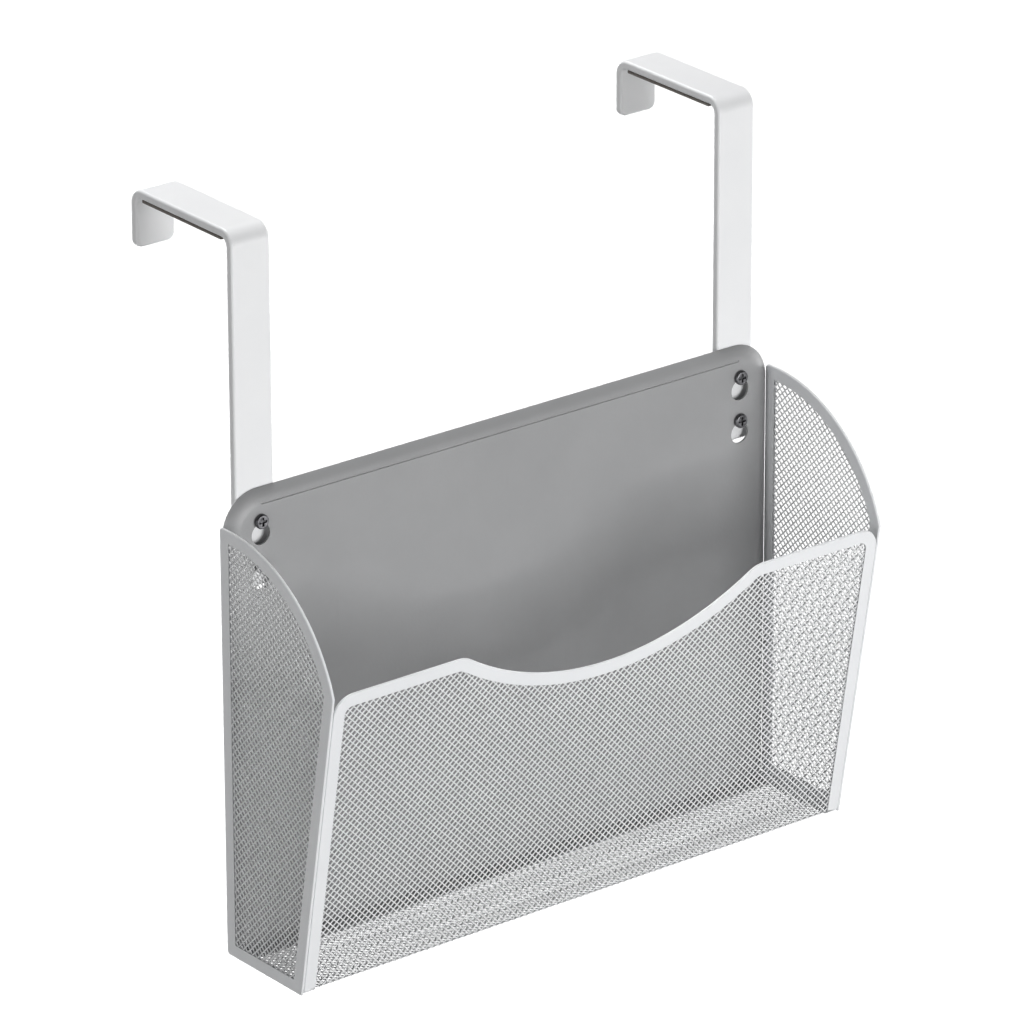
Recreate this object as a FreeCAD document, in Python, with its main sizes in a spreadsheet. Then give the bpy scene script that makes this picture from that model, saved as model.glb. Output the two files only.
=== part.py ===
"""Hanging file pocket in powder-coated steel, with two hooks that go over a door.

Frame: millimetres, +Z up.  The origin is the middle of the door's top front edge: the
hook bars stand against the door's face at Y = 0 and their pads rest on its top at Z = 0.
The pocket hangs in front of the door, towards -Y, and is symmetric about X = 0.

The pocket's own pieces are drawn in pocket coordinates (rear plane Y = 0, bottom Z = 0)
and moved to their place by their Placement.
"""
import FreeCAD
import Part
import os
from math import asin, atan2, cos, degrees, hypot, radians, sin, sqrt

import Sketcher

# ---------------------------------------------------------------- driving dimensions

SIZES = {
    # pocket, outside
    "pocket_width": 330.0,
    "bottom_depth": 58.4,
    "top_depth": 86.0,
    "front_height": 161.0,
    "side_height": 218.6,
    "side_arc_radius": 82.7,
    # wave in the front's top edge
    "wave_depth": 28.0,
    "wave_radius": 150.0,
    "crest_radius": 15.0,
    "front_corner_radius": 11.0,
    # flat strip frames and the mesh held in them
    "strip_width": 6.5,
    "strip_thickness": 1.5,
    "mesh_thickness": 0.6,
    "mesh_inset": 2.5,
    "fold_radius": 3.2,
    "side_corner_radius": 2.0,
    # back panel
    "back_height": 232.8,
    "back_corner_radius": 20.0,
    "panel_sheet": 1.0,
    "panel_depth": 4.0,
    "rim_radius": 12.0,
    "flange_depth": 12.0,
    "crease_radius": 0.45,
    "crease_angle": 10.0,
    "crease_margin": 20.0,
    # hooks
    "hook_spacing": 288.4,
    "hang_drop": 355.2,
    "bar_width": 22.0,
    "bar_thickness": 4.5,
    "bar_bend_radius": 8.2,
    "bar_end_radius": 4.0,
    "door_gap": 70.0,
    "rear_leg": 24.0,
    "bar_tail": 12.0,
    "pad_thickness": 1.3,
    "pad_margin": 0.4,
    # shouldered screws and the keyholes that hang on them
    "stud_height": 217.5,
    "stud_spacing": 22.5,
    "shoulder_diameter": 4.6,
    "thread_diameter": 4.0,
    "head_diameter": 7.2,
    "head_thickness": 1.8,
    "head_edge_radius": 0.8,
    "recess_width": 1.1,
    "recess_length": 4.4,
    "recess_depth": 1.2,
    "keyhole_diameter": 10.6,
    "keyhole_travel": 6.6,
    # clearances
    "running_gap": 0.3,
    "thread_gap": 0.05,
}

doc = FreeCAD.newDocument("file_pocket")
sheet = doc.addObject("Spreadsheet::Sheet", "Sizes")
for row, (alias, number) in enumerate(SIZES.items(), start=1):
    sheet.set(f"A{row}", alias)
    sheet.set(f"B{row}", str(number))
    sheet.setAlias(f"B{row}", alias)
doc.recompute()


class Named:
    """The sheet's numbers by name, for the places that a sketch is first drawn at."""

    def __getattr__(self, alias):
        return float(sheet.get(alias))


size = Named()

# Values that follow from the sizes, as numbers and as the same rule for the bindings.
LEAN = atan2(size.top_depth - size.bottom_depth, size.front_height)
LEAN_RULE = "atan2(Sizes.top_depth - Sizes.bottom_depth; Sizes.front_height)"
SLANT = hypot(size.top_depth - size.bottom_depth, size.front_height)
SLANT_RULE = "hypot(Sizes.top_depth - Sizes.bottom_depth; Sizes.front_height)"
HALF_INSIDE = size.pocket_width / 2 - size.strip_thickness
HALF_INSIDE_RULE = "(Sizes.pocket_width / 2 - Sizes.strip_thickness)"
PAST = 30.0  # how far a cutting shape runs past what it cuts

finished = []


# ---------------------------------------------------------------- small helpers


def bind(obj, **rules):
    """Bind properties to sheet rules; a double underscore stands for a dot."""
    for name, rule in rules.items():
        obj.setExpression(name.replace("__", "."), rule)
    return obj


def box(name, **rules):
    """A Part::Box with bound Length, Width, Height and Placement__Base__x, y, z."""
    return bind(doc.addObject("Part::Box", name), **rules)


def cylinder(name, direction, **rules):
    """A Part::Cylinder whose axis runs along direction from its base point."""
    obj = doc.addObject("Part::Cylinder", name)
    turn = FreeCAD.Rotation(FreeCAD.Vector(0, 0, 1), FreeCAD.Vector(*direction))
    obj.Placement = FreeCAD.Placement(FreeCAD.Vector(), turn)
    return bind(obj, **rules)


def cut(name, base, tool):
    obj = doc.addObject("Part::Cut", name)
    obj.Base = base
    obj.Tool = tool
    doc.recompute()
    return obj


def common(name, first, second):
    obj = doc.addObject("Part::Common", name)
    obj.Base = first
    obj.Tool = second
    doc.recompute()
    return obj


def fuse(name, *shapes):
    obj = doc.addObject("Part::MultiFuse", name)
    obj.Shapes = list(shapes)
    doc.recompute()
    return obj


def extrude(name, profile, direction, forward="0", backward="0"):
    """Extrude a closed profile along direction by two bound lengths."""
    obj = doc.addObject("Part::Extrusion", name)
    obj.Base = profile
    obj.DirMode = "Custom"
    obj.Dir = FreeCAD.Vector(*direction)
    obj.Solid = True
    bind(obj, LengthFwd=forward, LengthRev=backward)
    doc.recompute()
    return obj


def inset(name, profile, rule):
    """The same profile, drawn in by a bound distance."""
    obj = doc.addObject("Part::Offset2D", name)
    obj.Source = profile
    obj.Join = "Arc"
    obj.Mode = "Pipe"
    bind(obj, Value=f"-({rule})")
    doc.recompute()
    return obj


def round_edges(name, base, wanted, radius_rule):
    """Fillet the edges of base for which wanted(edge) is true."""
    obj = doc.addObject("Part::Fillet", name)
    obj.Base = base
    radius = float(sheet.evalExpression(radius_rule))
    picked = [(i, radius, radius) for i, e in enumerate(base.Shape.Edges, 1) if wanted(e)]
    if not picked:
        raise ValueError(f"{name}: no edge to round")
    obj.Edges = picked
    doc.recompute()
    return obj


def runs_along(edge, axis):
    """True for a straight edge parallel to the axis (0, 1 or 2)."""
    if edge.Curve.TypeId != "Part::GeomLine":
        return False
    return abs(abs(edge.Curve.Direction[axis]) - 1) < 1e-6


def sketch_on(name, plane):
    """A sketch on the YZ plane, the XZ plane or the front panel's leaning plane."""
    obj = doc.addObject("Sketcher::SketchObject", name)
    turns = {
        "YZ": FreeCAD.Rotation(FreeCAD.Vector(1, 1, 1), 120),
        "XZ": FreeCAD.Rotation(FreeCAD.Vector(1, 0, 0), 90),
        "front": FreeCAD.Rotation(FreeCAD.Vector(1, 0, 0), 90),
    }
    obj.Placement = FreeCAD.Placement(FreeCAD.Vector(), turns[plane])
    if plane == "front":
        bind(
            obj,
            Placement__Rotation__Angle=f"90deg + {LEAN_RULE}",
            Placement__Base__y="-Sizes.bottom_depth",
        )
    return obj


def line(start, end):
    return Part.LineSegment(FreeCAD.Vector(*start, 0), FreeCAD.Vector(*end, 0))


def arc(centre, radius, start_angle, end_angle):
    """An arc counter-clockwise from start_angle to end_angle, in degrees."""
    circle = Part.Circle(FreeCAD.Vector(*centre, 0), FreeCAD.Vector(0, 0, 1), radius)
    return Part.ArcOfCircle(circle, radians(start_angle), radians(end_angle))


START, END, CENTRE = 1, 2, 3


def constrain(sketch, kind, *where, rule=None):
    """Add one constraint and bind its value to a sheet rule."""
    if rule is None:
        sketch.addConstraint(Sketcher.Constraint(kind, *where))
        return
    number = float(sheet.evalExpression(rule))
    index = sketch.addConstraint(Sketcher.Constraint(kind, *where, number))
    sketch.setExpression(f"Constraints[{index}]", rule)


def polygon(sketch, corners):
    """Straight sides through corners, each corner given by two sheet rules."""
    points = [tuple(float(sheet.evalExpression(rule)) for rule in c) for c in corners]
    last = len(points) - 1
    for i, point in enumerate(points):
        sketch.addGeometry(line(point, points[0 if i == last else i + 1]))
    for i in range(len(points)):
        constrain(sketch, "Coincident", i, END, 0 if i == last else i + 1, START)
    for i, (x_rule, y_rule) in enumerate(corners):
        constrain(sketch, "DistanceX", -1, 1, i, START, rule=x_rule)
        constrain(sketch, "DistanceY", -1, 1, i, START, rule=y_rule)
    doc.recompute()
    return sketch


def keep(obj, label, in_pocket=True):
    """Name a finished sub-part and, for the pocket's pieces, hang it in its place."""
    obj.Label = label
    if in_pocket:
        bind(
            obj,
            Placement__Base__y="-(Sizes.bar_thickness + Sizes.running_gap)",
            Placement__Base__z="-Sizes.hang_drop",
        )
    finished.append(obj)
    return obj


# ---------------------------------------------------------------- back panel


def keyhole(tag, x_rule, z_rule):
    """A slot that the shoulder sits in, with the round that the head enters below it."""
    slot_radius = "(Sizes.shoulder_diameter / 2 + Sizes.running_gap)"
    through = dict(Height="Sizes.panel_depth + 2 * Sizes.panel_sheet")
    through["Placement__Base__x"] = x_rule
    round_end = cylinder(
        f"keyhole_slot_end_{tag}",
        (0, -1, 0),
        Radius=slot_radius,
        Placement__Base__z=z_rule,
        **through,
    )
    entry = cylinder(
        f"keyhole_entry_{tag}",
        (0, -1, 0),
        Radius="Sizes.keyhole_diameter / 2",
        Placement__Base__z=f"{z_rule} - Sizes.keyhole_travel",
        **through,
    )
    slot = box(
        f"keyhole_slot_{tag}",
        Length=f"2 * {slot_radius}",
        Width="Sizes.panel_depth + 2 * Sizes.panel_sheet",
        Height="Sizes.keyhole_travel",
        Placement__Base__x=f"{x_rule} - {slot_radius}",
        Placement__Base__y="-(Sizes.panel_depth + 2 * Sizes.panel_sheet)",
        Placement__Base__z=f"{z_rule} - Sizes.keyhole_travel",
    )
    return [round_end, entry, slot]


def back_panel():
    """Pressed sheet: flat face, rim curled back along the top and sides, lower flange."""
    # The curl is the first part of a quarter round, which is cut off at the rear plane.
    # Its sides stop inside the side frames, so the block is wider by what is cut off.
    behind_rear = "(Sizes.rim_radius - Sizes.panel_depth)"
    lost = f"(Sizes.rim_radius - sqrt(Sizes.rim_radius ^ 2 - {behind_rear} ^ 2))"
    half = f"({HALF_INSIDE_RULE} + {lost})"
    foot = "Sizes.strip_thickness"
    top = f"(Sizes.back_height + {lost})"
    outline = polygon(
        sketch_on("back_outline", "XZ"),
        [(f"-{half}", foot), (half, foot), (half, top), (f"-{half}", top)],
    )
    block = extrude("back_block", outline, (0, -1, 0), "Sizes.panel_depth", "Sizes.rim_radius")
    corners = round_edges(
        "back_rounded",
        block,
        lambda e: runs_along(e, 1) and e.CenterOfMass.z > size.back_height / 2,
        f"Sizes.back_corner_radius + {lost}",
    )

    def on_front_rim(edge):
        in_front = abs(edge.BoundBox.YMin + size.panel_depth) < 1e-6
        flat = abs(edge.BoundBox.YMax + size.panel_depth) < 1e-6
        return in_front and flat and edge.CenterOfMass.z > size.strip_thickness + 1e-6

    curled = round_edges("back_curled", corners, on_front_rim, "Sizes.rim_radius")
    shell = doc.addObject("Part::Thickness", "back_shell")
    open_faces = []
    for i, face in enumerate(curled.Shape.Faces, 1):
        at_rear = abs(face.BoundBox.YMin - size.rim_radius) < 1e-6
        at_foot = abs(face.BoundBox.ZMax - size.strip_thickness) < 1e-6
        if at_rear or at_foot:
            open_faces.append(f"Face{i}")
    shell.Faces = (curled, open_faces)
    bind(shell, Value="-Sizes.panel_sheet")
    doc.recompute()

    behind = box(
        "back_behind",
        Length=f"2 * {half} + 10",
        Width="2 * Sizes.rim_radius",
        Height=f"{top} + 10",
        Placement__Base__x=f"-{half} - 5",
    )
    pan = cut("back_pan", shell, behind)

    # The flange rests on the bottom mesh, between the frame's two lower strips.
    mesh_top = "((Sizes.strip_thickness + Sizes.mesh_thickness) / 2)"
    flange_half = f"({HALF_INSIDE_RULE} - Sizes.strip_width - Sizes.running_gap)"
    flange = box(
        "back_flange",
        Length=f"2 * {flange_half}",
        Width="Sizes.flange_depth",
        Height="Sizes.panel_sheet",
        Placement__Base__x=f"-{flange_half}",
        Placement__Base__y="-(Sizes.panel_depth - Sizes.panel_sheet + Sizes.flange_depth)",
        Placement__Base__z=mesh_top,
    )
    sheet_metal = fuse("back_sheet", pan, flange)

    tools = []
    for side, sign in (("left", "-"), ("right", "")):
        for level, drop in (("upper", "0"), ("lower", "Sizes.stud_spacing")):
            x_rule = f"{sign}Sizes.hook_spacing / 2"
            z_rule = f"(Sizes.stud_height - {drop})"
            tools += keyhole(f"{side}_{level}", x_rule, z_rule)

    # A fine crease pressed along the start of the top curl.
    crease_length = f"({HALF_INSIDE_RULE} - Sizes.crease_margin)"
    tools.append(
        cylinder(
            "back_crease",
            (1, 0, 0),
            Radius="Sizes.crease_radius",
            Height=f"2 * {crease_length}",
            Placement__Base__x=f"-{crease_length}",
            Placement__Base__y=(
                "-Sizes.panel_depth + Sizes.rim_radius * (1 - cos(Sizes.crease_angle * 1deg))"
            ),
            Placement__Base__z=(
                f"{top} - Sizes.rim_radius * (1 - sin(Sizes.crease_angle * 1deg))"
            ),
        )
    )
    keep(cut("back_panel", sheet_metal, fuse("back_cuts", *tools)), "back_panel")


# ---------------------------------------------------------------- side panels


def side_outline(name):
    """The side's outline: upright back, flat top, a convex arc down to the front."""
    radius = size.side_arc_radius
    centre_z = size.side_height - radius
    reach = sqrt(radius**2 - (size.front_height - centre_z) ** 2)
    centre_y = reach - size.top_depth
    end_angle = 180 - degrees(asin((size.front_height - centre_z) / radius))
    sketch = sketch_on(name, "YZ")
    sketch.addGeometry(line((0, 0), (-size.bottom_depth, 0)))
    sketch.addGeometry(line((-size.bottom_depth, 0), (-size.top_depth, size.front_height)))
    sketch.addGeometry(arc((centre_y, centre_z), radius, 90, end_angle))
    sketch.addGeometry(line((centre_y, size.side_height), (0, size.side_height)))
    sketch.addGeometry(line((0, size.side_height), (0, 0)))
    foot, front, curve, top, rear = range(5)
    constrain(sketch, "Coincident", foot, START, -1, 1)
    constrain(sketch, "Coincident", foot, END, front, START)
    constrain(sketch, "Coincident", front, END, curve, END)
    constrain(sketch, "Tangent", curve, START, top, START)
    constrain(sketch, "Coincident", top, END, rear, START)
    constrain(sketch, "Coincident", rear, END, foot, START)
    constrain(sketch, "Horizontal", foot)
    constrain(sketch, "Horizontal", top)
    constrain(sketch, "Vertical", rear)
    constrain(sketch, "DistanceX", -1, 1, front, START, rule="-Sizes.bottom_depth")
    constrain(sketch, "DistanceX", -1, 1, front, END, rule="-Sizes.top_depth")
    constrain(sketch, "DistanceY", -1, 1, front, END, rule="Sizes.front_height")
    constrain(sketch, "DistanceY", -1, 1, top, END, rule="Sizes.side_height")
    constrain(sketch, "Radius", curve, rule="Sizes.side_arc_radius")
    doc.recompute()
    return sketch


def side_panel(side, outer_x_rule):
    """One side: a flat strip frame and the mesh sheet held in its edge."""
    outline = side_outline(f"{side}_outline")
    blank = extrude(f"{side}_blank", outline, (1, 0, 0), "Sizes.strip_thickness")
    rounded = round_edges(
        f"{side}_rounded",
        blank,
        lambda e: runs_along(e, 0) and e.CenterOfMass.y > -size.top_depth / 2,
        "Sizes.side_corner_radius",
    )
    window_line = inset(f"{side}_window_line", outline, "Sizes.strip_width")
    window = extrude(
        f"{side}_window", window_line, (1, 0, 0), "Sizes.strip_thickness + 1", "1"
    )
    ring = cut(f"{side}_ring", rounded, window)

    def sheet_of_mesh(tag):
        edge_line = inset(f"{side}_mesh_line_{tag}", outline, "Sizes.mesh_inset")
        return extrude(
            f"{side}_mesh_{tag}",
            edge_line,
            (1, 0, 0),
            "(Sizes.strip_thickness + Sizes.mesh_thickness) / 2",
            "-(Sizes.strip_thickness - Sizes.mesh_thickness) / 2",
        )

    frame = cut(f"{side}_side_frame", ring, sheet_of_mesh("groove"))
    keep(bind(frame, Placement__Base__x=outer_x_rule), f"{side}_side_frame")
    mesh = sheet_of_mesh("sheet")
    keep(bind(mesh, Placement__Base__x=outer_x_rule), f"{side}_side_mesh")


# ---------------------------------------------------------------- front and bottom


def fold_profile():
    """Section of the folded front and bottom, closed well above and behind the pocket."""
    front_top = f"({SLANT_RULE} + {PAST})"
    sketch = polygon(
        sketch_on("fold_profile", "YZ"),
        [
            (f"{PAST}", "0"),
            ("-Sizes.bottom_depth", "0"),
            (
                f"-Sizes.bottom_depth - {front_top} * sin({LEAN_RULE})",
                f"{front_top} * cos({LEAN_RULE})",
            ),
            (f"{PAST}", f"{front_top} * cos({LEAN_RULE})"),
        ],
    )
    return sketch


def folded_sheet(tag, near_rule, far_rule):
    """A sheet folded from the front under the bottom, between two depths from the outside."""
    profile = fold_profile()
    profile.Label = f"fold_profile_{tag}"

    def solid(name, rule):
        """The space inside the fold's outer line, drawn in by rule."""
        line_in = profile if rule == "0" else inset(f"{name}_line", profile, rule)
        prism = extrude(name, line_in, (1, 0, 0), HALF_INSIDE_RULE, HALF_INSIDE_RULE)
        depth = float(sheet.evalExpression(rule))
        corner_y = -size.bottom_depth + depth / cos(LEAN) - depth * sin(LEAN) / cos(LEAN)

        def at_fold(edge):
            near = abs(edge.CenterOfMass.z - depth) < 0.01
            return runs_along(edge, 0) and near and abs(edge.CenterOfMass.y - corner_y) < 0.01

        return round_edges(f"{name}_bent", prism, at_fold, f"Sizes.fold_radius - ({rule})")

    outer = solid(f"fold_outer_{tag}", near_rule)
    return cut(f"fold_{tag}", outer, solid(f"fold_inner_{tag}", far_rule))


def front_outline(name):
    """The front's outline, with rounded corners and a wave dipping in its top edge.

    Two crests are tangent to the straight top and to the wide arc of the dip.  The
    outline runs on below the fold, so that the same line trims the bottom as well.
    """
    half = HALF_INSIDE
    corner = size.front_corner_radius
    crest = size.crest_radius
    dip = size.wave_radius
    dip_z = SLANT - size.wave_depth + dip
    crest_z = SLANT - crest
    crest_x = sqrt((dip + crest) ** 2 - (dip_z - crest_z) ** 2)
    swing = degrees(asin(crest_x / (dip + crest)))
    sketch = sketch_on(name, "front")
    pieces = [
        line((-half, -PAST), (half, -PAST)),
        line((half, -PAST), (half, SLANT - corner)),
        arc((half - corner, SLANT - corner), corner, 0, 90),
        line((half - corner, SLANT), (crest_x, SLANT)),
        arc((crest_x, crest_z), crest, 90, 90 + swing),
        arc((0, dip_z), dip, 270 - swing, 270 + swing),
        arc((-crest_x, crest_z), crest, 90 - swing, 90),
        line((-crest_x, SLANT), (corner - half, SLANT)),
        arc((corner - half, SLANT - corner), corner, 90, 180),
        line((-half, SLANT - corner), (-half, -PAST)),
    ]
    for piece in pieces:
        sketch.addGeometry(piece)
    foot, right, corner_r, top_r, crest_r, valley, crest_l, top_l, corner_l, left = range(10)
    constrain(sketch, "Coincident", foot, END, right, START)
    constrain(sketch, "Tangent", right, END, corner_r, START)
    constrain(sketch, "Tangent", corner_r, END, top_r, START)
    constrain(sketch, "Tangent", top_r, END, crest_r, START)
    constrain(sketch, "Tangent", crest_r, END, valley, END)
    constrain(sketch, "Tangent", valley, START, crest_l, START)
    constrain(sketch, "Tangent", crest_l, END, top_l, START)
    constrain(sketch, "Tangent", top_l, END, corner_l, START)
    constrain(sketch, "Tangent", corner_l, END, left, START)
    constrain(sketch, "Coincident", left, END, foot, START)
    for level in (foot, top_r, top_l):
        constrain(sketch, "Horizontal", level)
    for upright in (right, left):
        constrain(sketch, "Vertical", upright)
    constrain(sketch, "DistanceX", -1, 1, foot, END, rule=HALF_INSIDE_RULE)
    constrain(sketch, "DistanceX", -1, 1, foot, START, rule=f"-{HALF_INSIDE_RULE}")
    constrain(sketch, "DistanceY", -1, 1, foot, START, rule=f"-{PAST}")
    constrain(sketch, "DistanceY", -1, 1, top_r, START, rule=SLANT_RULE)
    constrain(sketch, "DistanceY", -1, 1, top_l, END, rule=SLANT_RULE)
    constrain(sketch, "Radius", corner_r, rule="Sizes.front_corner_radius")
    constrain(sketch, "Radius", corner_l, rule="Sizes.front_corner_radius")
    constrain(sketch, "Radius", crest_r, rule="Sizes.crest_radius")
    constrain(sketch, "Radius", crest_l, rule="Sizes.crest_radius")
    constrain(sketch, "Radius", valley, rule="Sizes.wave_radius")
    dip_rule = f"{SLANT_RULE} - Sizes.wave_depth + Sizes.wave_radius"
    constrain(sketch, "DistanceX", -1, 1, valley, CENTRE, rule="0")
    constrain(sketch, "DistanceY", -1, 1, valley, CENTRE, rule=dip_rule)
    doc.recompute()
    return sketch


def front_prism(name, rule):
    """The front outline, drawn in by rule and run through the whole pocket's depth."""
    outline = front_outline(f"{name}_outline")
    if rule != "0":
        outline = inset(f"{name}_line", outline, rule)
    inwards = (0, cos(LEAN), sin(LEAN))
    return extrude(name, outline, inwards, f"Sizes.top_depth + {PAST}", "5")


def in_front_of_rear(tag):
    """A block that ends at the pocket's rear plane, to trim the folded sheets."""
    return box(
        f"rear_trim_{tag}",
        Length="Sizes.pocket_width + 20",
        Width=f"Sizes.top_depth + 2 * {PAST}",
        Height=f"Sizes.front_height + 4 * {PAST}",
        Placement__Base__x="-Sizes.pocket_width / 2 - 10",
        Placement__Base__y=f"-(Sizes.top_depth + 2 * {PAST})",
        Placement__Base__z=f"-{PAST}",
    )


def front_and_bottom():
    """The strip frame with the wave, and the one mesh sheet folded under as the bottom."""
    near = "((Sizes.strip_thickness - Sizes.mesh_thickness) / 2)"
    far = "((Sizes.strip_thickness + Sizes.mesh_thickness) / 2)"

    def mesh_sheet(tag):
        whole = folded_sheet(f"mesh_{tag}", near, far)
        edge = front_prism(f"mesh_edge_{tag}", "Sizes.mesh_inset")
        trimmed = common(f"mesh_trimmed_{tag}", whole, edge)
        return common(f"mesh_{tag}", trimmed, in_front_of_rear(f"mesh_{tag}"))

    blank = folded_sheet("frame", "0", "Sizes.strip_thickness")
    shaped = common("front_shaped", blank, front_prism("front_edge", "0"))
    trimmed = common("front_trimmed", shaped, in_front_of_rear("frame"))
    ring = cut("front_ring", trimmed, front_prism("front_window", "Sizes.strip_width"))
    keep(cut("front_frame", ring, mesh_sheet("groove")), "front_frame")
    keep(mesh_sheet("sheet"), "front_mesh")


# ---------------------------------------------------------------- hooks and screws


def hook(side, x_rule):
    """A flat bar: down behind the pocket, over the door and down its far side."""
    low = "-(Sizes.hang_drop - Sizes.stud_height + Sizes.stud_spacing + Sizes.bar_tail)"
    top = "(Sizes.pad_thickness + Sizes.bar_thickness)"
    profile = polygon(
        sketch_on(f"{side}_bar_profile", "YZ"),
        [
            ("-Sizes.bar_thickness", low),
            ("0", low),
            ("0", "Sizes.pad_thickness"),
            ("Sizes.door_gap", "Sizes.pad_thickness"),
            ("Sizes.door_gap", "-Sizes.rear_leg"),
            ("Sizes.door_gap + Sizes.bar_thickness", "-Sizes.rear_leg"),
            ("Sizes.door_gap + Sizes.bar_thickness", top),
            ("-Sizes.bar_thickness", top),
        ],
    )
    bar = extrude(f"{side}_bar", profile, (1, 0, 0), "Sizes.bar_width / 2", "Sizes.bar_width / 2")
    outside = round_edges(
        f"{side}_bar_bent",
        bar,
        lambda e: runs_along(e, 0) and e.CenterOfMass.z > size.pad_thickness + 1,
        "Sizes.bar_bend_radius",
    )

    def at_inner_bend(edge):
        middle = edge.CenterOfMass
        off_leg = min(abs(middle.y), abs(middle.y - size.door_gap))
        return runs_along(edge, 0) and abs(middle.z - size.pad_thickness) < 1e-6 and off_leg < 1e-6

    inner_radius = "(Sizes.bar_bend_radius - Sizes.bar_thickness)"
    inside = round_edges(f"{side}_bar_inside", outside, at_inner_bend, inner_radius)
    ends = round_edges(
        f"{side}_bar_ends",
        inside,
        lambda e: runs_along(e, 1) and e.CenterOfMass.z < -size.rear_leg + 1e-6,
        "Sizes.bar_end_radius",
    )
    holes = [
        cylinder(
            f"{side}_tapped_{level}",
            (0, 1, 0),
            Radius="Sizes.thread_diameter / 2 + Sizes.thread_gap",
            Height="Sizes.bar_thickness + 2",
            Placement__Base__y="-Sizes.bar_thickness - 1",
            Placement__Base__z=f"-Sizes.hang_drop + Sizes.stud_height - {drop}",
        )
        for level, drop in (("upper", "0"), ("lower", "Sizes.stud_spacing"))
    ]
    drilled = cut(f"{side}_hook", ends, fuse(f"{side}_tapped_holes", *holes))
    keep(bind(drilled, Placement__Base__x=x_rule), f"{side}_hook", in_pocket=False)

    pad_length = f"(Sizes.door_gap - 2 * {inner_radius} - 2 * Sizes.pad_margin)"
    pad_width = "(Sizes.bar_width - 2 * Sizes.pad_margin)"
    pad = box(
        f"{side}_pad_block",
        Length=pad_width,
        Width=pad_length,
        Height="Sizes.pad_thickness",
        Placement__Base__x=f"-{pad_width} / 2",
        Placement__Base__y=f"{inner_radius} + Sizes.pad_margin",
    )
    doc.recompute()
    rounded = round_edges(
        f"{side}_hook_pad", pad, lambda e: runs_along(e, 2), "2 * Sizes.pad_margin"
    )
    keep(bind(rounded, Placement__Base__x=x_rule), f"{side}_hook_pad", in_pocket=False)


def shoulder_screw(side, level, x_rule, drop):
    """Cross-recessed pan head on a shoulder that stands off the bar, threaded into it."""
    tag = f"{side}_{level}"
    standoff = "(Sizes.panel_depth + 2 * Sizes.running_gap)"
    thread = cylinder(
        f"thread_{tag}",
        (0, 1, 0),
        Radius="Sizes.thread_diameter / 2",
        Height="Sizes.bar_thickness",
        Placement__Base__y="-Sizes.bar_thickness",
    )
    shoulder = cylinder(
        f"shoulder_{tag}",
        (0, -1, 0),
        Radius="Sizes.shoulder_diameter / 2",
        Height=standoff,
        Placement__Base__y="-Sizes.bar_thickness",
    )
    head = cylinder(
        f"head_{tag}",
        (0, -1, 0),
        Radius="Sizes.head_diameter / 2",
        Height="Sizes.head_thickness",
        Placement__Base__y=f"-Sizes.bar_thickness - {standoff}",
    )
    doc.recompute()
    front_y = head.Shape.BoundBox.YMin

    def on_head_rim(edge):
        reach = edge.BoundBox
        return abs(reach.YMin - front_y) < 1e-6 and abs(reach.YMax - front_y) < 1e-6

    domed = round_edges(f"domed_{tag}", head, on_head_rim, "Sizes.head_edge_radius")
    face_y = f"-(Sizes.bar_thickness + {standoff} + Sizes.head_thickness) - 1"
    recess = []
    for name, across, along in (
        ("wide", "Sizes.recess_length", "Sizes.recess_width"),
        ("tall", "Sizes.recess_width", "Sizes.recess_length"),
    ):
        recess.append(
            box(
                f"recess_{name}_{tag}",
                Length=across,
                Width="Sizes.recess_depth + 1",
                Height=along,
                Placement__Base__x=f"-{across} / 2",
                Placement__Base__y=face_y,
                Placement__Base__z=f"-{along} / 2",
            )
        )
    body = fuse(f"screw_blank_{tag}", thread, shoulder, domed)
    screw = cut(f"{tag}_screw", body, fuse(f"recess_{tag}", *recess))
    bind(
        screw,
        Placement__Base__x=x_rule,
        Placement__Base__z=f"-Sizes.hang_drop + Sizes.stud_height - {drop}",
    )
    keep(screw, f"{tag}_screw", in_pocket=False)


# ---------------------------------------------------------------- the whole object

back_panel()
side_panel("left", "-Sizes.pocket_width / 2")
side_panel("right", "Sizes.pocket_width / 2 - Sizes.strip_thickness")
front_and_bottom()
for side, x_rule in (("left", "-Sizes.hook_spacing / 2"), ("right", "Sizes.hook_spacing / 2")):
    hook(side, x_rule)
    for level, drop in (("upper", "0"), ("lower", "Sizes.stud_spacing")):
        shoulder_screw(side, level, x_rule, drop)

doc.recompute()

# ---------------------------------------------------------------- checks and export

for obj in doc.Objects:
    if {"Invalid", "Error"} & set(obj.State):
        raise RuntimeError(f"{obj.Label} failed: {obj.State}")
for obj in finished:
    if obj.Shape.isNull() or not obj.Shape.isValid():
        raise RuntimeError(f"{obj.Label} has no valid shape")
    if len(obj.Shape.Solids) != 1:
        raise RuntimeError(f"{obj.Label} has {len(obj.Shape.Solids)} solids, not 1")

os.makedirs("parts", exist_ok=True)
for obj in finished:
    obj.Shape.exportStep(os.path.join("parts", f"{obj.Label}.step"))
    reach = obj.Shape.BoundBox
    print(
        f"{obj.Label:20s} {obj.Shape.Volume / 1000:8.2f} cm3"
        f"  X {reach.XMin:7.1f} {reach.XMax:7.1f}"
        f"  Y {reach.YMin:7.1f} {reach.YMax:7.1f}"
        f"  Z {reach.ZMin:7.1f} {reach.ZMax:7.1f}"
    )
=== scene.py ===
# %% [markdown]
# # A mesh file pocket that hangs over a door
#
# The pocket is a solid pressed back panel, two mesh sides and one mesh sheet that folds
# from the front under the bottom.  Flat strips are hemmed over the edges of the mesh.
# Two flat bars, bolted behind the panel by shouldered screws, hook over a door.
#
# The engineering model is loaded first and never moved.  Everything below is laid over
# it: the plain sheets become a real lattice, sharp plate edges are softened, and every
# piece gets its finish.

from math import atan2, cos, hypot, pi, radians, sin, sqrt, tan

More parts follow.
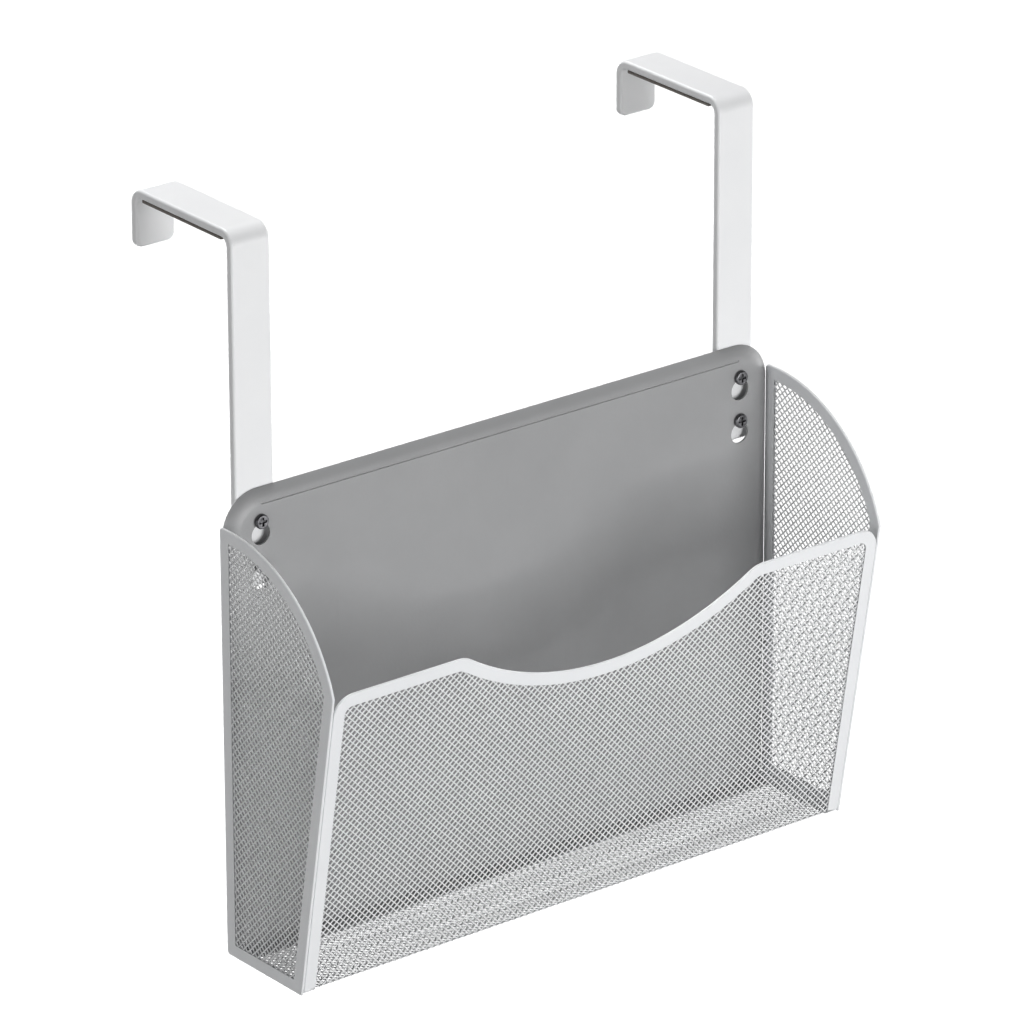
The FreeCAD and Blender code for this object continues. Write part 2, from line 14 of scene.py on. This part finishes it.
import bmesh
import bpy
from mathutils import Matrix, Quaternion, Vector
from mathutils.bvhtree import BVHTree


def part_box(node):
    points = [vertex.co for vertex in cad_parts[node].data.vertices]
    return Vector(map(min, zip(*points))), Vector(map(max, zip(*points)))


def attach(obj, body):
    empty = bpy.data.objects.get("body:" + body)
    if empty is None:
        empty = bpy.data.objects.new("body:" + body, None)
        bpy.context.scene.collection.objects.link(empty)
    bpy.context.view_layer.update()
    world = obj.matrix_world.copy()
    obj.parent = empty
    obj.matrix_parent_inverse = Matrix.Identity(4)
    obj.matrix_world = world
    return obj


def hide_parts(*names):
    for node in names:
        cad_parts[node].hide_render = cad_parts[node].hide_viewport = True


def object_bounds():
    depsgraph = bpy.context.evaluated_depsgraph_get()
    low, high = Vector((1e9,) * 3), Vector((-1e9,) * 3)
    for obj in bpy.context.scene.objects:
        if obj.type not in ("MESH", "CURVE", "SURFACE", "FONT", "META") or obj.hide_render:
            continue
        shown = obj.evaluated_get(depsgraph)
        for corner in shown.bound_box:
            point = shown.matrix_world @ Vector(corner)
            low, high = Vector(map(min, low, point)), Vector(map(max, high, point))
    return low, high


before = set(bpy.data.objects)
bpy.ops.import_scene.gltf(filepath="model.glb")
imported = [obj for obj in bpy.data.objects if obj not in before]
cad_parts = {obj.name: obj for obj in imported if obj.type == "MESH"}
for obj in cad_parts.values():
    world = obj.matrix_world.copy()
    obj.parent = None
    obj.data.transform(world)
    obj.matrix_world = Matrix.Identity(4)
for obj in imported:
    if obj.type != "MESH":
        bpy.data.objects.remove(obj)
model_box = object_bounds()
mm = 0.001
print("model box, m:", [tuple(round(v, 4) for v in corner) for corner in model_box])

# %% [markdown]
# ## The camera
#
# A long lens from far away keeps the pocket's upright edges nearly parallel, as in a
# catalogue picture.  A camera looks along its own -Z, so its +Z is pointed back from the
# object towards the viewer.  A last small turn about that axis levels the horizon.

# %% Place the camera
view_azimuth = radians(-38.12)
view_elevation = radians(22.73)
view_roll = radians(-0.16)
view_distance = 3.635
view_aim = Vector((0.0054, -0.0065, -0.1730))

towards_viewer = Vector(
    (
        sin(view_azimuth) * cos(view_elevation),
        -cos(view_azimuth) * cos(view_elevation),
        sin(view_elevation),
    )
)
camera = bpy.data.objects.new("camera", bpy.data.cameras.new("camera"))
camera.data.lens = 268.57
camera.data.sensor_width = 36.0
camera.data.clip_end = 50.0
camera.rotation_mode = "QUATERNION"
camera.location = view_aim + towards_viewer * view_distance
camera.rotation_quaternion = towards_viewer.to_track_quat("Z", "Y") @ Quaternion((0, 0, 1), view_roll)
bpy.context.scene.collection.objects.link(camera)
bpy.context.scene.camera = camera
print("camera at", tuple(round(v, 3) for v in camera.location))

# %% [markdown]
# ## Helpers for materials
#
# A procedural finish is a small tree of nodes.  These two helpers add a node and give
# its inputs in one call, so that each finish below reads as a short recipe.  All of the
# patterns read Object coordinates, which are metres here, so a scale of 1000 means
# features about a millimetre across.


# %% Node helpers
def add_node(tree, kind, **inputs):
    """Add a node; an input name is written with _ for a space, and a link is passed as a socket."""
    node = tree.nodes.new(kind)
    for name, value in inputs.items():
        socket = node.inputs[name.replace("_", " ")]
        if isinstance(value, bpy.types.NodeSocket):
            tree.links.new(value, socket)
        else:
            socket.default_value = value
    return node


def start_finish(name):
    """A new material, its Principled shader and its Object coordinates."""
    material = bpy.data.materials.new(name)
    material.use_nodes = True
    tree = material.node_tree
    shader = tree.nodes["Principled BSDF"]
    place = tree.nodes.new("ShaderNodeTexCoord").outputs["Object"]
    return material, tree, shader, place


def ramp(tree, factor, stops):
    """A colour ramp through (position, colour) stops."""
    node = tree.nodes.new("ShaderNodeValToRGB")
    tree.links.new(factor, node.inputs["Fac"])
    while len(node.color_ramp.elements) < len(stops):
        node.color_ramp.elements.new(0.5)
    for element, (position, colour) in zip(node.color_ramp.elements, stops):
        element.position = position
        element.color = (*colour, 1.0)
    return node.outputs["Color"]


# %% [markdown]
# ## White powder coat
#
# Powder is sprayed on dry and baked, so it flows into a satin skin with a very fine
# orange peel.  Two bumps make it: waves about a millimetre and a half across, and a much
# finer grain.  The grain also spreads the roughness a little, and a slow cloud keeps the
# white from being one flat number.
#
# Paper that slides in and out leaves faint upright scuffs.  They are a noise stretched
# along the height, shown only where a second, coarser noise is high.  They dull the gloss
# and leave the colour alone, so they show only where light grazes the coat.
#
# The panel of a full pocket stands in the shade of what it holds.  This pocket is empty,
# so that shade is painted in as a far greyer panel coat, and the strips stay bright against it.


# %% Powder coat finish
def spread(tree, noise, low, high, to_low=0.0, to_high=1.0):
    """Stretch the part of a noise from low to high over to_low to to_high, held at both ends."""
    node = add_node(
        tree,
        "ShaderNodeMapRange",
        Value=noise.outputs["Fac"],
        From_Min=low,
        From_Max=high,
        To_Min=to_low,
        To_Max=to_high,
    )
    return node.outputs["Result"]


def calculate(tree, operation, *values):
    """A Math node on up to three sockets or numbers."""
    node = tree.nodes.new("ShaderNodeMath")
    node.operation = operation
    for socket, value in zip(node.inputs, values):
        if isinstance(value, bpy.types.NodeSocket):
            tree.links.new(value, socket)
        else:
            socket.default_value = value
    return node.outputs["Value"]


def bump(tree, height, strength, distance, **under):
    """The normal of a Bump node, which may lie over another bump's Normal."""
    node = add_node(
        tree, "ShaderNodeBump", Height=height, Strength=strength, Distance=distance, **under
    )
    return node.outputs["Normal"]


def powder_coat(name, light, shade, rough, peel, scuffed):
    """Powder coat between two close tones, with its peel's strength and its scuffs' dullness."""
    material, tree, shader, place = start_finish(name)
    cloud = add_node(
        tree, "ShaderNodeTexNoise", Vector=place, Scale=18.0, Detail=4.0, Roughness=0.6
    )
    tone = ramp(tree, cloud.outputs["Fac"], [(0.30, shade), (0.70, light)])
    tree.links.new(tone, shader.inputs["Base Color"])

    waves = add_node(
        tree, "ShaderNodeTexNoise", Vector=place, Scale=620.0, Detail=2.0, Roughness=0.5
    )
    grain = add_node(
        tree, "ShaderNodeTexNoise", Vector=place, Scale=3200.0, Detail=2.0, Roughness=0.6
    )
    gloss = spread(tree, grain, 0.30, 0.70, rough - 0.05, rough + 0.06)

    upright = add_node(tree, "ShaderNodeMapping", Vector=place, Scale=(700.0, 700.0, 22.0))
    streaks = add_node(
        tree, "ShaderNodeTexNoise", Vector=upright.outputs["Vector"], Scale=1.0, Detail=2.0
    )
    patches = add_node(tree, "ShaderNodeTexNoise", Vector=place, Scale=35.0, Detail=1.0)
    scuffs = calculate(
        tree, "MULTIPLY", spread(tree, streaks, 0.58, 0.72), spread(tree, patches, 0.50, 0.62)
    )
    dulled = calculate(tree, "MULTIPLY_ADD", scuffs, scuffed, gloss)
    tree.links.new(dulled, shader.inputs["Roughness"])

    peel_normal = bump(tree, waves.outputs["Fac"], peel, 0.12 * mm)
    grain_normal = bump(tree, grain.outputs["Fac"], peel * 0.6, 0.03 * mm, Normal=peel_normal)
    tree.links.new(grain_normal, shader.inputs["Normal"])
    shader.inputs["Specular IOR Level"].default_value = 0.45
    print("finish:", name)
    return material


strip_light, strip_shade = (0.84, 0.85, 0.86), (0.81, 0.82, 0.835)
# Painted shade: the panel's two tones are far greyer than the other coats, and stand in for the shade
# inside a full pocket.
panel_pale_painted_shade, panel_deep_painted_shade = (0.37, 0.372, 0.377), (0.345, 0.347, 0.352)
bar_light, bar_shade = (0.85, 0.855, 0.86), (0.82, 0.825, 0.835)
strand_light, strand_shade = (0.85, 0.855, 0.86), (0.80, 0.805, 0.815)
coat_frame = powder_coat("powder_coat_frame", strip_light, strip_shade, 0.40, 0.35, 0.15)
panel_painted_shade_finish = powder_coat("panel_painted_shade_coat", panel_pale_painted_shade, panel_deep_painted_shade, 0.42, 0.35, 0.25)
coat_hook = powder_coat("powder_coat_hook", bar_light, bar_shade, 0.38, 0.30, 0.15)
coat_mesh = powder_coat("powder_coat_mesh", strand_light, strand_shade, 0.42, 0.25, 0.10)

# %% [markdown]
# ## Dark zinc and foam
#
# The screws are plated steel: metallic and dark, with a mottled stain that changes tone
# and gloss together, and fine marks left by tumbling in the plating barrel.  Those are a
# noise stretched along Y, the way the screws point.  The pad is closed-cell foam, so it is
# matte and pitted by small cells, which a Voronoi pattern gives.


# %% Zinc and foam finishes
def dark_zinc(name):
    """Mottled dark plate with fine marks along the screw."""
    material, tree, shader, place = start_finish(name)
    stain = add_node(tree, "ShaderNodeTexNoise", Vector=place, Scale=700.0, Detail=3.0)
    dark, pale = (0.10, 0.10, 0.105), (0.22, 0.22, 0.23)
    tone = ramp(tree, stain.outputs["Fac"], [(0.3, dark), (0.7, pale)])
    tree.links.new(tone, shader.inputs["Base Color"])
    tree.links.new(spread(tree, stain, 0.0, 1.0, 0.28, 0.50), shader.inputs["Roughness"])
    along_axis = add_node(
        tree, "ShaderNodeMapping", Vector=place, Scale=(4000.0, 300.0, 4000.0)
    )
    marks = add_node(
        tree, "ShaderNodeTexNoise", Vector=along_axis.outputs["Vector"], Scale=1.0, Detail=1.0
    )
    tree.links.new(bump(tree, marks.outputs["Fac"], 0.25, 0.02 * mm), shader.inputs["Normal"])
    shader.inputs["Metallic"].default_value = 0.9
    print("finish:", name)
    return material


def pad_foam(name):
    """Matte warm grey foam, pitted by cells."""
    material, tree, shader, place = start_finish(name)
    cells = add_node(tree, "ShaderNodeTexVoronoi", Vector=place, Scale=2600.0)
    depth = cells.outputs["Distance"]
    tone = ramp(tree, depth, [(0.1, (0.17, 0.155, 0.14)), (0.7, (0.30, 0.28, 0.26))])
    tree.links.new(tone, shader.inputs["Base Color"])
    tree.links.new(bump(tree, depth, 0.6, 0.1 * mm), shader.inputs["Normal"])
    shader.inputs["Roughness"].default_value = 0.92
    print("finish:", name)
    return material


zinc = dark_zinc("dark_zinc_screw")
foam = pad_foam("foam_pad")

# %% [markdown]
# ## One diamond of the mesh
#
# The mesh is a square lattice turned on its corner.  A single cell is one square face:
# insetting it leaves a ring of strands half as wide as the real ones, because the next
# cell brings the other half.  The inset's depth drops the hole's edge below the strand's
# ridge, so that smooth shading reads the section as a round wire.  A mirrored copy makes
# the far side, and bridging the two hole outlines makes the walls.

# %% Diamond cell
mesh_pitch = 2.65 * mm
strand_width = 0.86 * mm
strand_ridge = 0.78 * mm
strand_edge = 0.42 * mm
diagonal = mesh_pitch * sqrt(2)


def diamond_cell():
    """Two ridged faces and the four walls of one diamond hole, centred at the origin."""
    bm = bmesh.new()
    bmesh.ops.create_grid(bm, x_segments=1, y_segments=1, size=mesh_pitch / 2)
    bmesh.ops.rotate(bm, verts=bm.verts, cent=(0, 0, 0), matrix=Matrix.Rotation(pi / 4, 3, "Z"))
    hole = bm.faces[:]
    drop = (strand_edge - strand_ridge) / 2
    bmesh.ops.inset_individual(bm, faces=hole, thickness=strand_width / 2, depth=drop)
    bmesh.ops.delete(bm, geom=hole, context="FACES_ONLY")
    bmesh.ops.translate(bm, verts=bm.verts, vec=(0, 0, strand_ridge / 2))
    copied = bmesh.ops.duplicate(bm, geom=bm.verts[:] + bm.edges[:] + bm.faces[:])["geom"]
    back_verts = [g for g in copied if isinstance(g, bmesh.types.BMVert)]
    back_faces = [g for g in copied if isinstance(g, bmesh.types.BMFace)]
    bmesh.ops.scale(bm, verts=back_verts, vec=(1, 1, -1))
    bmesh.ops.reverse_faces(bm, faces=back_faces)
    below_ridge = strand_ridge * 0.49
    rim = [e for e in bm.edges if all(abs(v.co.z) < below_ridge for v in e.verts)]
    bmesh.ops.bridge_loops(bm, edges=rim)
    return bm


one_cell = diamond_cell()
print("diamond cell:", len(one_cell.verts), "points,", len(one_cell.faces), "faces")
one_cell.free()

# %% [markdown]
# ## Filling a sheet
#
# A row is the cell copied at every diagonal step, and the sheet is the row copied
# upwards, with a second set shifted half a step each way to fill the gaps.  Spinning
# through no angle with a step is the quickest way to lay copies in a line.
#
# The engineering model says where the sheet ends.  A cell stays when all four of its
# corners lie on that sheet, and its ragged border hides inside the hemmed strips.

# %% Sheet of cells
on_sheet_within = 0.5 * mm
weld_gap = 0.01 * mm


def whole_cells(length):
    """How many cells fit in a length, with a hair to spare where they fit exactly."""
    return int(length / diagonal + 0.001)


def row_of_copies(bm, step, count):
    """Repeat everything so far count times, each copy a step further on."""
    bmesh.ops.spin(
        bm,
        geom=bm.verts[:] + bm.edges[:] + bm.faces[:],
        cent=(0, 0, 0),
        axis=(0, 0, 1),
        dvec=step,
        angle=0,
        steps=count,
        use_duplicate=True,
    )


def surface_of(node):
    """A search tree over an engineering piece, to measure how far a point is from it."""
    bm = bmesh.new()
    bm.from_mesh(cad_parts[node].data)
    tree = BVHTree.FromBMesh(bm)
    bm.free()
    return tree


def lattice(low, high, place, sheet_node):
    """Cells from corner low to corner high, each kept where place() puts it on the sheet."""
    bm = diamond_cell()
    half = diagonal / 2
    second = bmesh.ops.duplicate(bm, geom=bm.verts[:] + bm.edges[:] + bm.faces[:])["geom"]
    shifted = [g for g in second if isinstance(g, bmesh.types.BMVert)]
    bmesh.ops.translate(bm, verts=shifted, vec=(half, half, 0))
    bmesh.ops.translate(bm, verts=bm.verts, vec=(low[0], low[1], 0))
    row_of_copies(bm, (diagonal, 0, 0), whole_cells(high[0] - low[0]))
    row_of_copies(bm, (0, diagonal, 0), whole_cells(high[1] - low[1]))

    sheet = surface_of(sheet_node)
    kept = {}

    def on_sheet(face):
        """Find the face's cell, and test that cell once."""
        middle = face.calc_center_median()
        u = middle.x - low[0]
        v = middle.y - low[1]
        a = round((u + v) / diagonal)
        b = round((u - v) / diagonal)
        if (a, b) not in kept:
            x = low[0] + (a + b) * half
            y = low[1] + (a - b) * half
            corners = [(x + half, y), (x - half, y), (x, y + half), (x, y - half)]
            found = [sheet.find_nearest(place(Vector((cx, cy, 0)))) for cx, cy in corners]
            kept[a, b] = all(hit[3] < on_sheet_within for hit in found)
        return kept[a, b]

    outside = [face for face in bm.faces if not on_sheet(face)]
    bmesh.ops.delete(bm, geom=outside, context="FACES")
    bmesh.ops.remove_doubles(bm, verts=bm.verts, dist=weld_gap)
    return bm


def close_border(bm):
    """Join the two sides of the sheet all along its ragged border."""
    border = [e for e in bm.edges if e.is_boundary and all(v.co.z > 0 for v in e.verts)]
    walls = bmesh.ops.extrude_edge_only(bm, edges=border)["geom"]
    lowered = [g for g in walls if isinstance(g, bmesh.types.BMVert)]
    bmesh.ops.translate(bm, verts=lowered, vec=(0, 0, -strand_ridge))
    bmesh.ops.remove_doubles(bm, verts=bm.verts, dist=weld_gap)
    bmesh.ops.recalc_face_normals(bm, faces=bm.faces)


def finish_piece(bm, name, material, body):
    """Turn a bmesh into a named, smooth-shaded object that rides on a body."""
    for face in bm.faces:
        face.smooth = True
    mesh = bpy.data.meshes.new(name)
    bm.to_mesh(mesh)
    bm.free()
    piece = bpy.data.objects.new(name, mesh)
    bpy.context.scene.collection.objects.link(piece)
    mesh.materials.append(material)
    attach(piece, body)
    print(name, "-", sum(len(p.vertices) - 2 for p in mesh.polygons), "triangles")
    return piece


# %% [markdown]
# ## The side meshes
#
# Each side is flat, so its lattice is filled in a plane and then stood up.  The local X
# runs along the pocket's depth, the local Y is up, and the local Z looks outwards, so
# the left side uses the mirrored axes.

# %% Left and right mesh
side_low, side_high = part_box("left_side_frame")


def stand_on_side(side, centre_x):
    """The matrix from the flat sheet to a side of the pocket."""
    return Matrix(((0, 0, side, centre_x), (side, 0, 0, 0), (0, 1, 0, 0), (0, 0, 0, 1)))


def side_mesh(name, side):
    """The lattice of one side, from the box of the sheet that it replaces."""
    node = name + "_side_mesh"
    low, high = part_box(node)
    upright = stand_on_side(side, (low.x + high.x) / 2)
    flat_ends = sorted((low.y * side, high.y * side))
    bm = lattice(
        (flat_ends[0] - diagonal, low.z - diagonal),
        (flat_ends[1] + diagonal, high.z + diagonal),
        lambda point: upright @ point,
        node,
    )
    close_border(bm)
    bmesh.ops.transform(bm, matrix=upright, verts=bm.verts)
    piece = finish_piece(bm, name + "_side_lattice", coat_mesh, "pocket")
    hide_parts(node)


side_mesh("left", -1)
side_mesh("right", 1)

# %% [markdown]
# ## The front and bottom mesh
#
# One sheet makes both.  It is filled flat, as it is cut, and then folded: points near
# the top stay on the leaning front, points past the fold lie on the bottom, and the few
# between go round the fold's radius.  Folding moves points and adds none, so the strands
# run on unbroken round the corner, as they do when a press folds the real sheet.
#
# Front and bottom together would make one very large piece, so the flat sheet is parted just
# above the fold: one piece ends with a row of cells, and the other starts with the next
# row, so that their strands meet point to point.

# %% Fold of the front
pocket_rear = side_high.y
pocket_bottom = side_low.z
bottom_depth = 58.4 * mm
front_height = 161.0 * mm
front_overhang = (side_high.y - side_low.y) - bottom_depth
front_lean = atan2(front_overhang, front_height)
front_slant = hypot(front_overhang, front_height)
sheet_inset = 0.75 * mm
fold_radius = 3.2 * mm
fold_angle = pi / 2 - front_lean
fold_reach = fold_radius * tan(fold_angle / 2)
front_run = front_slant - fold_reach
fold_run = (fold_radius - sheet_inset) * fold_angle
fold_centre = Vector((0, pocket_rear - bottom_depth + fold_reach, pocket_bottom + fold_radius))
print("the front leans", round(front_lean, 4), "rad and is", round(front_slant, 4), "m long")


def fold(point):
    """Flat sheet to folded sheet: x across, -y down from the front's top, z outwards."""
    down = -point.y
    out = point.z
    if down <= front_run:
        outward = Vector((0, -cos(front_lean), -sin(front_lean)))
        up = Vector((0, -sin(front_lean), cos(front_lean)))
        edge = fold_centre + outward * (fold_radius - sheet_inset + out)
        return edge + up * (front_run - down) + Vector((point.x, 0, 0))
    if down <= front_run + fold_run:
        turn = front_lean + (down - front_run) / (fold_radius - sheet_inset)
        outward = Vector((0, -cos(turn), -sin(turn)))
        return fold_centre + outward * (fold_radius - sheet_inset + out) + Vector((point.x, 0, 0))
    along = down - front_run - fold_run
    return fold_centre + Vector((point.x, along, -(fold_radius - sheet_inset + out)))


def front_lattice(name, top, bottom):
    """The lattice of the folded sheet between two heights of the flat one."""
    low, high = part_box("front_mesh")
    bm = lattice((low.x - diagonal, bottom), (high.x + diagonal, top), fold, "front_mesh")
    close_border(bm)
    for vert in bm.verts:
        vert.co = fold(vert.co)
    piece = finish_piece(bm, name, coat_mesh, "pocket")
    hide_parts("front_mesh")


split_above_fold = 4 * mm
lowest = -(front_run + fold_run + (pocket_rear - fold_centre.y)) - diagonal
rows_below = int(-lowest / diagonal) + 1
split_row = int((front_run - split_above_fold) / diagonal)
front_lattice("front_lattice", diagonal, -split_row * diagonal)
front_lattice("bottom_lattice", -(split_row + 1) * diagonal, -rows_below * diagonal)

# %% [markdown]
# ## Plate pieces with soft edges
#
# No pressed plate has a knife edge: shearing, folding and the coat all round it, and the
# highlight along that round is what tells the eye it is metal.  The engineering model
# has the right plates with sharp edges, so a copy of each is merged, its flat areas are
# joined into single faces, and its sharp edges are beveled.
#
# The hemmed strips are round on the outside, where the sheet folds over, and crisp along
# the lips that grip the mesh.  The bars have generous rounds, but their tapped holes stay
# crisp.  The panel, pads and screws get a hair's breadth.  Weighted normals keep the flats
# flat beside each round.


# %% Soften a plate
triangle_gap = 0.002 * mm
flat_within = radians(0.5)
sharp_from = radians(25.0)
screw_reach = 3 * mm


def softened(node, name, material, body, rounds):
    """A copy of an engineering piece with its sharp edges rounded.

    Each of the rounds is a radius, a number of segments and a test of the edges it takes.
    """
    bm = bmesh.new()
    bm.from_mesh(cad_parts[node].data)
    bmesh.ops.remove_doubles(bm, verts=bm.verts, dist=triangle_gap)
    bmesh.ops.dissolve_limit(
        bm,
        angle_limit=flat_within,
        use_dissolve_boundaries=False,
        verts=bm.verts,
        edges=bm.edges,
        delimit=set(),
    )
    for radius, segments, takes in rounds:
        sharp = [e for e in bm.edges if e.is_manifold and e.calc_face_angle(0) > sharp_from]
        bmesh.ops.bevel(
            bm,
            geom=[e for e in sharp if takes(e)],
            offset=radius,
            offset_type="OFFSET",
            segments=segments,
            profile=0.5,
            affect="EDGES",
            material=-1,
            clamp_overlap=True,
        )
    piece = finish_piece(bm, name, material, body)
    weighted = piece.modifiers.new("weighted normals", "WEIGHTED_NORMAL")
    weighted.weight = 50
    weighted.keep_sharp = True
    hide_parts(node)


def middle_of(edge):
    """The point halfway along an edge."""
    return (edge.verts[0].co + edge.verts[1].co) / 2


def every_edge(edge):
    """A test that takes all of the sharp edges."""
    return True


def away_from(sheet_node, distance):
    """A test for the edges of a strip that lie further than distance from its mesh."""
    sheet = surface_of(sheet_node)
    return lambda edge: sheet.find_nearest(middle_of(edge))[3] > distance


def off_the_screws(edge):
    """True away from the tapped holes, whose edges stay crisp round their screws."""
    middle = middle_of(edge)
    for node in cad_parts:
        if node.endswith("_screw"):
            low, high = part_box(node)
            axis = (low + high) / 2
            if hypot(middle.x - axis.x, middle.z - axis.z) < screw_reach:
                return False
    return True


# %% Strips, back panel, bars, pads and screws
bar_rounds = [(1.4 * mm, 5, off_the_screws)]
thin_rounds = [(0.20 * mm, 2, every_edge)]
screw_rounds = [(0.12 * mm, 2, every_edge)]

for name in ("left_side", "right_side", "front"):
    strip_rounds = [(0.60 * mm, 4, away_from(name + "_mesh", 2 * mm))]
    softened(name + "_frame", name + "_strip", coat_frame, "pocket", strip_rounds)

# The back sheet takes the grey coat with the painted shade in it.
softened("back_panel", "back_sheet", panel_painted_shade_finish, "pocket", thin_rounds)
for side in ("left", "right"):
    softened(side + "_hook", side + "_bar", coat_hook, "hooks", bar_rounds)
    softened(side + "_hook_pad", side + "_pad", foam, "hooks", thin_rounds)
    for level in ("upper", "lower"):
        node = side + "_" + level + "_screw"
        softened(node, node + "_turned", zinc, "hooks", screw_rounds)

# %% [markdown]
# ## Floor and light
#
# The pocket hangs, so the plain pale floor lies well below it.  Two sun lamps light that
# floor evenly right out to its far edge, which an area lamp can't, and their wide discs
# make shadows as soft as a large lamp in a studio.  The weak one lights everything, and
# stands high and well behind, so that the back panel shades the inside of the pocket.
# The strong one is linked to the floor alone, and makes it plain white.
#
# A white floor throws so much light back up that the mesh loses its dark holes, so the
# floor is hidden from diffuse rays.  Soft boxes round the pocket do the rest: a strong
# one in front, and weaker ones at the sides, behind and above.  A display gamma a little
# under one deepens the shade between the strands.

# %% Floor
floor_drop = 0.9
floor_half_width = 25.0
bm = bmesh.new()
bmesh.ops.create_grid(bm, x_segments=1, y_segments=1, size=floor_half_width)
bmesh.ops.translate(bm, verts=bm.verts, vec=(0, 0, model_box[0].z - floor_drop))
floor_mesh = bpy.data.meshes.new("floor")
bm.to_mesh(floor_mesh)
bm.free()
floor = bpy.data.objects.new("floor", floor_mesh)
bpy.context.scene.collection.objects.link(floor)
floor_paint = bpy.data.materials.new("pale_floor")
floor_paint.use_nodes = True
floor_shader = floor_paint.node_tree.nodes["Principled BSDF"]
floor_shader.inputs["Base Color"].default_value = (0.93, 0.93, 0.93, 1)
floor_shader.inputs["Roughness"].default_value = 1.0
floor_shader.inputs["Specular IOR Level"].default_value = 0.0
floor_mesh.materials.append(floor_paint)
floor.visible_diffuse = False
floor_only = bpy.data.collections.new("floor only")
floor_only.objects.link(floor)
print("floor at", round(model_box[0].z - floor_drop, 3), "m")


# %% Lamps and surroundings
def add_lamp(data, towards, place=(0, 0, 0)):
    """A lamp at place that shines from the direction of towards."""
    lamp = bpy.data.objects.new(data.name, data)
    lamp.location = place
    lamp.rotation_mode = "QUATERNION"
    lamp.rotation_quaternion = Vector(towards).to_track_quat("Z", "Y")
    bpy.context.scene.collection.objects.link(lamp)
    return lamp


def soft_sun(name, towards, strength):
    """A sun lamp in the direction of towards, with a wide disc."""
    data = bpy.data.lights.new(name, "SUN")
    data.energy = strength
    data.angle = radians(30.0)
    return add_lamp(data, towards)


def soft_box(name, place, aim, size, watts):
    """A square area lamp at place that looks at aim."""
    data = bpy.data.lights.new(name, "AREA")
    data.shape = "SQUARE"
    data.size = size
    data.energy = watts
    return add_lamp(data, Vector(place) - Vector(aim), place)


soft_sun("sun", (0.10, 0.55, 0.85), 1.3)
floor_sun = soft_sun("floor_sun", (0.10, 0.30, 0.95), 2.6)
floor_sun.light_linking.receiver_collection = floor_only
pocket_middle = (model_box[0] + model_box[1]) / 2
for name, place, size, watts in (
    ("front_box", (0.25, -1.60, -0.15), 0.9, 21.5),
    ("left_box", (-1.60, -0.40, -0.10), 0.9, 10.0),
    ("right_box", (1.60, -0.30, -0.20), 0.9, 9.0),
    ("back_box", (0.50, 1.70, -0.35), 0.9, 11.0),
    ("top_box", (0.00, 0.40, 0.75), 0.5, 6.0),
):
    soft_box(name, place, pocket_middle, size, watts)
    print(name, "-", watts, "W")

world = bpy.data.worlds.new("surroundings")
world.use_nodes = True
background = world.node_tree.nodes["Background"]
background.inputs["Color"].default_value = (1.0, 1.0, 1.0, 1)
background.inputs["Strength"].default_value = 0.06
bpy.context.scene.world = world
bpy.context.scene.view_settings.view_transform = "Standard"
bpy.context.scene.view_settings.gamma = 0.85
